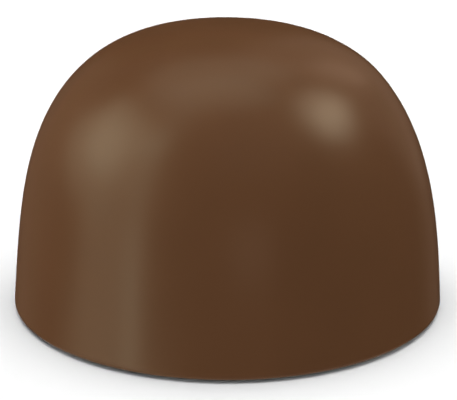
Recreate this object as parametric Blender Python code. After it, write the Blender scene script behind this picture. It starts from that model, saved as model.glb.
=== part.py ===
"""Moulded chocolate praline: one solid dome that stands on its flat base.

Metres, +Z up. The origin is the middle of the base, and the dome's axis is Z.
The side wall leans in by the mould's draft. The crown rolls over it in one
smooth curve. A small round joins the wall to a narrow bevel, which lifts the
rim clear of the surface that the flat base rests on.
"""
import math

import bpy
import numpy as np

# Driving dimensions, in metres and degrees.
BASE_RADIUS = 0.0150
CROWN_HEIGHT = 0.01925
DRAFT = math.radians(4.5)
FOOT_ROUND = 0.0003
BASE_BEVEL = math.radians(9)
RESTING_RADIUS = 0.0136

# Middle of the foot's round, and how far the bevel lifts the rim's plane.
FOOT_CENTRE = BASE_RADIUS - FOOT_ROUND * (math.tan(DRAFT) + 1 / math.cos(DRAFT))
BEVEL_RUN = FOOT_CENTRE + FOOT_ROUND * math.sin(BASE_BEVEL) - RESTING_RADIUS
RIM_LIFT = BEVEL_RUN * math.tan(BASE_BEVEL) - FOOT_ROUND * (1 - math.cos(BASE_BEVEL))

# Shape of the crown. A larger power gives a straighter wall or a fuller shoulder,
# and the pole share is the part of the curve that keeps the pole softly domed.
RISE_POWER = 3.2
SHOULDER_POWER = 3.3
POLE_SHARE = 0.4

# Fineness of the faceted solid.
SIDE_RINGS = 26
FOOT_RINGS = 5
TURN_STEPS = 96
FINE_POINTS = 2000
POLE_MERGE = 1e-6

MILK_CHOCOLATE = (0.106, 0.047, 0.021, 1.0)
SATIN_ROUGHNESS = 0.30


def clear_scene():
    """Remove every object, so that the file holds the praline alone."""
    for obj in list(bpy.data.objects):
        bpy.data.objects.remove(obj, do_unlink=True)


def crown_curve():
    """Radius and height of the dome from its pole down to the rim's plane.

    w is the share of the wall's radius, 0 at the pole and 1 at the rim's plane.
    rise = CROWN_HEIGHT * (1 - (1 - POLE_SHARE) * w^SHOULDER_POWER - POLE_SHARE * w^2)^(1 / RISE_POWER)
    radius = w * (BASE_RADIUS - rise * tan(DRAFT))
    height = RIM_LIFT + rise
    """
    turn = np.linspace(0.0, math.pi / 2, FINE_POINTS)
    w = np.sin(turn) ** (2 / SHOULDER_POWER)
    fall = (1 - POLE_SHARE) * w ** SHOULDER_POWER + POLE_SHARE * w ** 2
    rise = CROWN_HEIGHT * np.clip(1 - fall, 0, None) ** (1 / RISE_POWER)
    radius = w * (BASE_RADIUS - rise * math.tan(DRAFT))
    return radius, RIM_LIFT + rise


def foot_curve():
    """Round between the wall and the bevel: an arc that is tangent to both."""
    turn = np.linspace(DRAFT, BASE_BEVEL - math.pi / 2, FOOT_RINGS)
    radius = FOOT_CENTRE + FOOT_ROUND * np.cos(turn)
    height = RIM_LIFT + FOOT_ROUND * (1 + np.sin(turn))
    return radius, height


def side_curve(lowest):
    """Crown and wall, resampled at even steps along the curve, down to a height."""
    radius, height = crown_curve()
    kept = height > lowest
    radius = radius[kept]
    height = height[kept]
    run = np.concatenate([[0.0], np.cumsum(np.hypot(np.diff(radius), np.diff(height)))])
    even = np.linspace(0.0, run[-1], SIDE_RINGS + 1)[:-1]
    return np.interp(even, run, radius), np.interp(even, run, height)


def praline_profile():
    """Half outline in the XZ plane: pole, crown, wall, foot, bevel and middle of the base."""
    foot_radius, foot_height = foot_curve()
    side_radius, side_height = side_curve(foot_height[0])
    radius = np.concatenate([side_radius, foot_radius, [RESTING_RADIUS, 0.0]])
    height = np.concatenate([side_height, foot_height, [0.0, 0.0]])
    return [(float(r), 0.0, float(z)) for r, z in zip(radius, height)]


def chocolate():
    """Milk chocolate with the satin gloss that a polished mould leaves."""
    material = bpy.data.materials.new("milk_chocolate")
    material.use_nodes = True
    shader = material.node_tree.nodes["Principled BSDF"]
    shader.inputs["Base Color"].default_value = MILK_CHOCOLATE
    shader.inputs["Roughness"].default_value = SATIN_ROUGHNESS
    shader.inputs["Metallic"].default_value = 0.0
    material.diffuse_color = MILK_CHOCOLATE
    return material


def make_praline():
    """Turn the half outline about Z into the closed dome."""
    points = praline_profile()
    edges = [(i, i + 1) for i in range(len(points) - 1)]
    mesh = bpy.data.meshes.new("praline")
    mesh.from_pydata(points, edges, [])
    praline = bpy.data.objects.new("praline", mesh)
    bpy.context.scene.collection.objects.link(praline)
    mesh.materials.append(chocolate())
    screw = praline.modifiers.new("turn", "SCREW")
    screw.axis = "Z"
    screw.angle = 2 * math.pi
    screw.steps = TURN_STEPS
    screw.render_steps = TURN_STEPS
    screw.use_merge_vertices = True
    screw.merge_threshold = POLE_MERGE
    screw.use_smooth_shade = True
    return praline


clear_scene()
make_praline()
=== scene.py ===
"""Looks of the moulded chocolate praline: its fine surface, satin chocolate, floor, light and camera."""
import math

import bpy
import numpy as np
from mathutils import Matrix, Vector


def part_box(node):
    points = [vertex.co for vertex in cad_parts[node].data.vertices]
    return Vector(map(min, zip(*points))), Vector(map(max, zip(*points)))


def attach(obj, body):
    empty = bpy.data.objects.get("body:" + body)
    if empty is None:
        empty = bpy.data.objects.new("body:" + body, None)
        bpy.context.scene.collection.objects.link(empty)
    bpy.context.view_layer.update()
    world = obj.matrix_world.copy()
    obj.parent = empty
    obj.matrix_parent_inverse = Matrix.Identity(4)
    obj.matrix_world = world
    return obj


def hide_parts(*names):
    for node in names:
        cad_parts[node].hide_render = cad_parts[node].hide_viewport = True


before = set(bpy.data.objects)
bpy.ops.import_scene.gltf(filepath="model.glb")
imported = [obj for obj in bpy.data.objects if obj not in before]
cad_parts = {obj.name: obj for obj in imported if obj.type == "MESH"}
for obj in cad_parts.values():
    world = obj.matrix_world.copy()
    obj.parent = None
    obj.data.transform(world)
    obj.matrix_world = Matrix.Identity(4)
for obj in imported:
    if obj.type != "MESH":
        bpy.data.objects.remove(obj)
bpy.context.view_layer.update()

# ---------------------------------------------------------------- sizes
# Driving sizes come from the frame. Lengths are in metres.
low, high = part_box("praline")
HEIGHT = high[2] - low[2]
WIDEST = (high[0] - low[0]) / 2
MM = 0.001

# The mould, and the foot with its round and its narrow bevel.
DRAFT = math.radians(4.5)
RISE_POWER = 3.2
SHOULDER_POWER = 3.3
POLE_SHARE = 0.4
FOOT_ROUND = 0.3 * MM
FOOT_CENTRE = WIDEST - FOOT_ROUND
BASE_BEVEL = math.radians(9)
RESTING_RADIUS = WIDEST - 1.375 * MM
BEVEL_RUN = FOOT_CENTRE + FOOT_ROUND * math.sin(BASE_BEVEL) - RESTING_RADIUS
RIM_LIFT = BEVEL_RUN * math.tan(BASE_BEVEL) - FOOT_ROUND * (1 - math.cos(BASE_BEVEL))
# The foot's round hides the sharp corner between the wall and the rim's plane, which is this far out.
BASE_RADIUS = FOOT_CENTRE + FOOT_ROUND * (math.tan(DRAFT) + 1 / math.cos(DRAFT))
CROWN_HEIGHT = HEIGHT - RIM_LIFT

# Fineness of the surface.
AROUND = 360
SIDE_RINGS = 150
FOOT_RINGS = 14
BEVEL_RINGS = 4
BASE_RINGS = 16
FINE_POINTS = 4000

# Unevenness left by cooling and by knocking out of the mould. The two turns are in radians,
# CROWN_TILT is a slope, and the swell's height and spread are shares of HEIGHT.
LEAN = 0.04 * MM
OVALITY = 0.02 * MM
OVAL_TURN = 0.7
THREE_LOBED_SHARE = 0.6
THREE_LOBED_TURN = 2.1
CROWN_TILT = 0.007
TILT_POWER = 6
SWELL = 0.12 * MM
SWELL_HEIGHT = 0.865
SWELL_SPREAD = 0.07


# ---------------------------------------------------------------- mesh helpers
def closed_turned_mesh(name, grid, top, bottom):
    """Mesh of rings of points, closed at both ends.

    grid is (rings, points round, 3), from the top ring down, anticlockwise seen from above.
    Neighbouring rings are joined by quads. The first ring closes on the point top and the
    last on the point bottom, by triangles. All faces point outwards.
    """
    rings, around = grid.shape[:2]
    points = np.concatenate([[top], grid.reshape(-1, 3), [bottom]])
    number = 1 + np.arange(rings * around).reshape(rings, around)
    after = np.roll(number, -1, axis=1)
    quads = np.stack([number[:-1], number[1:], after[1:], after[:-1]], axis=-1).reshape(-1, 4)
    pole = np.zeros(around, dtype=int)
    cap = np.stack([pole, number[0], after[0]], axis=-1)
    floor_cap = np.stack([pole + rings * around + 1, after[-1], number[-1]], axis=-1)
    mesh = bpy.data.meshes.new(name)
    mesh.from_pydata(points.tolist(), [], quads.tolist() + cap.tolist() + floor_cap.tolist())
    mesh.shade_smooth()
    piece = bpy.data.objects.new(name, mesh)
    bpy.context.scene.collection.objects.link(piece)
    return piece


# ---------------------------------------------------------------- the praline's surface
def crown_curve():
    """Radius and height from the pole down to the rim's plane.

    With w the share of the wall's radius, from 0 at the pole to 1 at the rim's plane:
    rise = CROWN_HEIGHT * (1 - (1 - POLE_SHARE) * w^SHOULDER_POWER - POLE_SHARE * w^2)^(1 / RISE_POWER)
    radius = w * (BASE_RADIUS - rise * tan(DRAFT)), height = RIM_LIFT + rise
    """
    w = np.sin(np.linspace(0, math.pi / 2, FINE_POINTS)) ** (2 / SHOULDER_POWER)
    fall = (1 - POLE_SHARE) * w ** SHOULDER_POWER + POLE_SHARE * w ** 2
    rise = CROWN_HEIGHT * np.clip(1 - fall, 0, None) ** (1 / RISE_POWER)
    return w * (BASE_RADIUS - rise * math.tan(DRAFT)), RIM_LIFT + rise


def foot_curve():
    """Round of radius FOOT_ROUND, tangent to the wall and to the bevel."""
    turn = np.linspace(DRAFT, BASE_BEVEL - math.pi / 2, FOOT_RINGS)
    return FOOT_CENTRE + FOOT_ROUND * np.cos(turn), RIM_LIFT + FOOT_ROUND * (1 + np.sin(turn))


def base_curve(foot_radius, foot_height):
    """Bevel down to RESTING_RADIUS, then the flat base inwards."""
    bevel = np.linspace(foot_radius, RESTING_RADIUS, BEVEL_RINGS + 1)[1:]
    bevel_height = foot_height * (bevel - RESTING_RADIUS) / (foot_radius - RESTING_RADIUS)
    inward = RESTING_RADIUS * np.linspace(1, 0, BASE_RINGS + 1)[1:-1]
    return np.concatenate([bevel, inward]), np.concatenate([bevel_height, np.zeros_like(inward)])


def praline_outline():
    """Half outline as radius and height: crown and wall at even steps, foot, bevel and base."""
    radius, height = crown_curve()
    foot_radius, foot_height = foot_curve()
    base_radius, base_height = base_curve(foot_radius[-1], foot_height[-1])
    side = height > foot_height[0]
    radius, height = radius[side], height[side]
    run = np.concatenate([[0], np.cumsum(np.hypot(np.diff(radius), np.diff(height)))])
    even = np.linspace(0, run[-1], SIDE_RINGS + 1)[1:-1]
    radius = np.concatenate([np.interp(even, run, radius), foot_radius, base_radius])
    height = np.concatenate([np.interp(even, run, height), foot_height, base_height])
    return radius, height


def make_praline():
    """The turned outline, a little uneven.

    At angle a and height h, with u = h / HEIGHT, the radius is multiplied by
    1 + (OVALITY / WIDEST) * (cos(2 a + OVAL_TURN)
        + THREE_LOBED_SHARE * u * cos(3 a + THREE_LOBED_TURN))
      + (SWELL / WIDEST) * max(cos a, 0)^2 * exp(-((u - SWELL_HEIGHT) / SWELL_SPREAD)^2),
    whose last term is the fuller shoulder at +X. The ring's centre moves along X by
    LEAN * sin(2 pi u), and a point at x comes down by CROWN_TILT * x * u^TILT_POWER.
    """
    radius, height = praline_outline()
    a = np.arange(AROUND) * 2 * math.pi / AROUND
    u = (height / HEIGHT)[:, None]
    wave = np.cos(2 * a + OVAL_TURN) + THREE_LOBED_SHARE * u * np.cos(3 * a + THREE_LOBED_TURN)
    shoulder = np.clip(np.cos(a), 0, None) ** 2 * np.exp(-(((u - SWELL_HEIGHT) / SWELL_SPREAD) ** 2))
    uneven = radius[:, None] * (1 + OVALITY / WIDEST * wave + SWELL / WIDEST * shoulder)
    x = uneven * np.cos(a) + LEAN * np.sin(2 * math.pi * u)
    y = uneven * np.sin(a)
    z = height[:, None] - CROWN_TILT * x * u ** TILT_POWER
    grid = np.stack([x, y, z], axis=-1)
    return closed_turned_mesh("praline_body", grid, (0, 0, HEIGHT), (0, 0, 0))


# ---------------------------------------------------------------- materials
DARK_TONE = (0.100, 0.045, 0.020, 1)
LIGHT_TONE = (0.112, 0.050, 0.022, 1)
CLOUD_SCALE = 260
CLOUD_DETAIL = 4
CLOUD_RANGE = (0.3, 0.7)
ROUGHNESS_RANGE = (0.28, 0.31)
SKIN_SCALE = 2600
SKIN_DETAIL = 3
SKIN_STRENGTH = 0.15
SKIN_DEPTH = 0.01 * MM
CHOCOLATE_IOR = 1.5
FLOOR_WHITE = (0.8, 0.8, 0.8, 1)


def new_material(name):
    """An empty node material with its Principled shader."""
    material = bpy.data.materials.new(name)
    material.use_nodes = True
    return material, material.node_tree, material.node_tree.nodes["Principled BSDF"]


def milk_chocolate():
    """Satin milk chocolate: faint tone clouds, uneven gloss and a very fine skin."""
    material, tree, shader = new_material("milk_chocolate_satin")
    nodes, links = tree.nodes, tree.links
    place = nodes.new("ShaderNodeTexCoord")

    clouds = nodes.new("ShaderNodeTexNoise")
    clouds.inputs["Scale"].default_value = CLOUD_SCALE
    clouds.inputs["Detail"].default_value = CLOUD_DETAIL
    links.new(place.outputs["Object"], clouds.inputs["Vector"])
    tone = nodes.new("ShaderNodeMix")
    tone.data_type = "RGBA"
    tone.inputs["A"].default_value = DARK_TONE
    tone.inputs["B"].default_value = LIGHT_TONE
    links.new(clouds.outputs["Fac"], tone.inputs["Factor"])
    links.new(tone.outputs["Result"], shader.inputs["Base Color"])

    gloss = nodes.new("ShaderNodeMapRange")
    gloss.inputs["From Min"].default_value = CLOUD_RANGE[0]
    gloss.inputs["From Max"].default_value = CLOUD_RANGE[1]
    gloss.inputs["To Min"].default_value = ROUGHNESS_RANGE[0]
    gloss.inputs["To Max"].default_value = ROUGHNESS_RANGE[1]
    links.new(clouds.outputs["Fac"], gloss.inputs["Value"])
    links.new(gloss.outputs["Result"], shader.inputs["Roughness"])

    skin = nodes.new("ShaderNodeTexNoise")
    skin.inputs["Scale"].default_value = SKIN_SCALE
    skin.inputs["Detail"].default_value = SKIN_DETAIL
    links.new(place.outputs["Object"], skin.inputs["Vector"])
    bump = nodes.new("ShaderNodeBump")
    bump.inputs["Strength"].default_value = SKIN_STRENGTH
    bump.inputs["Distance"].default_value = SKIN_DEPTH
    links.new(skin.outputs["Fac"], bump.inputs["Height"])
    links.new(bump.outputs["Normal"], shader.inputs["Normal"])

    shader.inputs["IOR"].default_value = CHOCOLATE_IOR
    return material


def pale_floor():
    """Matt white studio floor."""
    material, _, shader = new_material("pale_floor")
    shader.inputs["Base Color"].default_value = FLOOR_WHITE
    shader.inputs["Roughness"].default_value = 1.0
    shader.inputs["Specular IOR Level"].default_value = 0.0
    return material


# ---------------------------------------------------------------- floor
FLOOR_RADIUS = 40 * WIDEST
FLOOR_SIDES = 96
FLOOR_GAP = 0.01 * MM
FLOOR_DEPTH = 5 * MM


def make_floor():
    """Round floor, one thin closed disc just under the praline's base.

    Two rings of radius FLOOR_RADIUS, FLOOR_GAP and FLOOR_DEPTH below the base, are joined and closed.
    """
    radius = FLOOR_RADIUS * np.array([1.0, 1.0])
    depth = np.array([-FLOOR_GAP, -FLOOR_DEPTH])
    a = np.arange(FLOOR_SIDES) * 2 * math.pi / FLOOR_SIDES
    x = radius[:, None] * np.cos(a)
    y = radius[:, None] * np.sin(a)
    z = np.broadcast_to(depth[:, None], x.shape)
    floor = closed_turned_mesh("floor", np.stack([x, y, z], axis=-1), (0, 0, depth[0]), (0, 0, depth[1]))
    # Smooth shading would round the disc's edge and darken the floor towards it.
    floor.data.shade_flat()
    floor.data.materials.append(pale_floor())
    # The camera alone sees the floor. What it would throw on the praline comes from lights.
    floor.visible_diffuse = False
    floor.visible_glossy = False
    floor.visible_shadow = False
    return floor


# ---------------------------------------------------------------- lights
# Directions and what a panel spans are in degrees, seen from the praline's middle. A ring of
# panels is its elevation and its number of panels. The four colours tint what the gloss shows.
SOFTBOX_DISTANCE = 200 * WIDEST
TENT_PANEL = 40
TENT_RINGS = ((20, 9), (60, 5), (90, 1))
TENT_BRIGHTNESS = 1.0
FLOOR_GLOW_RINGS = ((-20, 9), (-60, 5))
FLOOR_GLOW = 0.6
SIDE_ELEVATION = 25
SIDE_PANEL = 50
SIDE_LEFT = 1.3
SIDE_BACK = 1.5
FLOOR_TENT = 0.9
FLOOR_SIDE = 0.4
FLOOR_OVERHEAD = 4.6
WINDOW_LIGHT = (1.0, 0.95, 0.67)
LAMP_LIGHT = (1.0, 0.87, 0.62)
CEILING_LIGHT = (1.0, 0.9, 0.67)
ROOM_LIGHT = (1.0, 0.7, 0.5)


def softbox(name, azimuth, elevation, width, height, brightness, colour=(1, 1, 1), round_shape=False):
    """Area light aimed at the praline's middle, that looks width by height degrees from there.

    Azimuth 0 is the camera's side and +90 its right. Brightness is the light's radiance.
    """
    a, e = math.radians(azimuth), math.radians(elevation)
    out = Vector((math.sin(a) * math.cos(e), -math.cos(a) * math.cos(e), math.sin(e)))
    light = bpy.data.lights.new(name, "AREA")
    light.shape = "ELLIPSE" if round_shape else "RECTANGLE"
    light.size = 2 * SOFTBOX_DISTANCE * math.tan(math.radians(width) / 2)
    light.size_y = 2 * SOFTBOX_DISTANCE * math.tan(math.radians(height) / 2)
    light.color = colour
    area = light.size * light.size_y * (math.pi / 4 if round_shape else 1)
    light.energy = brightness * math.pi * area
    lamp = bpy.data.objects.new(name, light)
    lamp.location = Vector((0, 0, HEIGHT / 2)) + out * SOFTBOX_DISTANCE
    lamp.rotation_mode = "QUATERNION"
    lamp.rotation_quaternion = out.to_track_quat("Z", "Y")
    lamp.visible_camera = False
    bpy.context.scene.collection.objects.link(lamp)
    return lamp


def body_light(name, azimuth, elevation, width, height, brightness, lit):
    """White softbox that lights only the objects of the collection lit, and makes no highlight."""
    lamp = softbox(name, azimuth, elevation, width, height, brightness)
    lamp.visible_glossy = False
    lamp.data.cycles.use_multiple_importance_sampling = False
    lamp.light_linking.receiver_collection = lit


def highlight(name, azimuth, elevation, width, height, brightness, colour, round_shape=False):
    """Softbox that is only seen as a highlight in the chocolate's gloss.

    No two have the same direction, because two that lie in one plane would hide each other.
    """
    softbox(name, azimuth, elevation, width, height, brightness, colour, round_shape).visible_diffuse = False


def ring_of_panels(name, elevation, count, brightness, lit):
    """Ring of soft panels side by side, elevation degrees above the floor."""
    width = min(TENT_PANEL, 360 / count * math.cos(math.radians(elevation)))
    for i in range(count):
        azimuth = 360 * (i + 0.5) / count
        panel = "%s_%d_%d" % (name, abs(elevation), i)
        body_light(panel, azimuth, elevation, width, TENT_PANEL, brightness, lit)


def lit_group(piece):
    """Collection that tells lights to light this piece only."""
    group = bpy.data.collections.new(piece.name + "_lit")
    group.objects.link(piece)
    return group


def light_praline(lit):
    """Even white tent round the chocolate, the light the floor throws back up, and the brighter sides."""
    for elevation, count in TENT_RINGS:
        ring_of_panels("tent", elevation, count, TENT_BRIGHTNESS, lit)
    for elevation, count in FLOOR_GLOW_RINGS:
        ring_of_panels("floor_glow", elevation, count, FLOOR_GLOW, lit)
    body_light("side_left", -90, SIDE_ELEVATION, SIDE_PANEL, SIDE_PANEL, SIDE_LEFT, lit)
    body_light("side_back_left", -135, SIDE_ELEVATION, SIDE_PANEL, SIDE_PANEL, SIDE_BACK, lit)
    body_light("side_back_right", 135, SIDE_ELEVATION, SIDE_PANEL, SIDE_PANEL, SIDE_BACK, lit)


def light_floor(lit):
    """Low ring and a broad panel overhead, and a little more from the right: a close, soft shadow."""
    ring_of_panels("floor_tent", 20, 9, FLOOR_TENT, lit)
    body_light("floor_side", 100, 20, 40, 40, FLOOR_SIDE, lit)
    body_light("floor_overhead", 0, 90, 50, 50, FLOOR_OVERHEAD, lit)


def highlights():
    """What the gloss shows. Azimuth, elevation, width and height in degrees, then the brightness."""
    # The window on the left: bright pane, its glow, the top pane, the near edge and the lower panes.
    highlight("window_pane", -84, 25, 30, 18, 1.65, WINDOW_LIGHT, True)
    highlight("window_glow", -84, 22, 60, 36, 0.9, WINDOW_LIGHT, True)
    highlight("window_top", -80, 42, 44, 18, 1.55, WINDOW_LIGHT)
    highlight("window_edge", -50, 4, 7, 104, 1.6, WINDOW_LIGHT)
    highlight("window_middle", -65, -8, 38, 30, 0.75, WINDOW_LIGHT)
    highlight("window_low", -62, -30, 64, 26, 0.35, WINDOW_LIGHT)
    # The round lamp on the right.
    highlight("lamp_core", 92, 43, 21, 17, 2.5, LAMP_LIGHT, True)
    highlight("lamp_glow", 94, 45, 33, 32, 2.1, LAMP_LIGHT, True)
    # The ceiling.
    highlight("ceiling", 10, 90, 40, 30, 0.95, CEILING_LIGHT, True)
    highlight("ceiling_back", 190, 68, 50, 30, 0.6, CEILING_LIGHT, True)
    highlight("ceiling_left", -78, 66, 34, 18, 0.7, CEILING_LIGHT)
    # What is dim around the rest of the room.
    highlight("front_haze", 18, 50, 42, 36, 0.25, ROOM_LIGHT)
    highlight("front_spot", 12, 4, 24, 18, 0.6, ROOM_LIGHT, True)
    highlight("back_right_haze", 142, 30, 54, 76, 0.25, ROOM_LIGHT, True)
    highlight("back_right_spot", 143, 34, 16, 28, 0.7, ROOM_LIGHT, True)
    highlight("back_right_low", 140, -14, 22, 18, 0.13, ROOM_LIGHT)
    highlight("back_left_haze", -134, 4, 48, 68, 0.12, ROOM_LIGHT, True)
    # The white floor, seen in the round of the foot.
    highlight("floor_shine", 0, -90, 110, 110, 0.4, ROOM_LIGHT, True)


# ---------------------------------------------------------------- surround and camera
# The camera's lens and sensor are in millimetres.
CAMERA_ELEVATION = math.radians(18.08)
CAMERA_DISTANCE = 6.667 * BASE_RADIUS
AIM_ASIDE = 0.0053 * BASE_RADIUS
AIM_HEIGHT = 0.4563 * BASE_RADIUS + RIM_LIFT
SENSOR_WIDTH = 36
FOCAL_LENGTH = 112.86


def white_surround():
    """White behind everything, that lights nothing."""
    world = bpy.data.worlds.new("white_surround")
    bpy.context.scene.world = world
    world.use_nodes = True
    world.node_tree.nodes["Background"].inputs["Color"].default_value = (1, 1, 1, 1)
    world.node_tree.nodes["Background"].inputs["Strength"].default_value = 1.0
    world.cycles_visibility.diffuse = False
    world.cycles_visibility.glossy = False


def place_camera():
    """Camera in front of the praline and a little above it, aimed at its lower middle."""
    aim = Vector((AIM_ASIDE, 0, AIM_HEIGHT))
    back = Vector((0, -math.cos(CAMERA_ELEVATION), math.sin(CAMERA_ELEVATION)))
    data = bpy.data.cameras.new("camera")
    data.sensor_width = SENSOR_WIDTH
    data.lens = FOCAL_LENGTH
    data.clip_start = 0.1 * CAMERA_DISTANCE
    data.clip_end = 100 * CAMERA_DISTANCE
    camera = bpy.data.objects.new("camera", data)
    camera.location = aim + back * CAMERA_DISTANCE
    camera.rotation_mode = "QUATERNION"
    camera.rotation_quaternion = back.to_track_quat("Z", "Y")
    bpy.context.scene.collection.objects.link(camera)
    bpy.context.scene.camera = camera
    bpy.context.scene.view_settings.view_transform = "Standard"


# ---------------------------------------------------------------- make everything
praline = make_praline()
praline.data.materials.append(milk_chocolate())
# No brown light goes from the praline to the floor, so the shadow stays grey.
praline.visible_diffuse = False
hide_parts("praline")
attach(praline, "root")

floor = make_floor()
light_praline(lit_group(praline))
light_floor(lit_group(floor))
highlights()
white_surround()
place_camera()
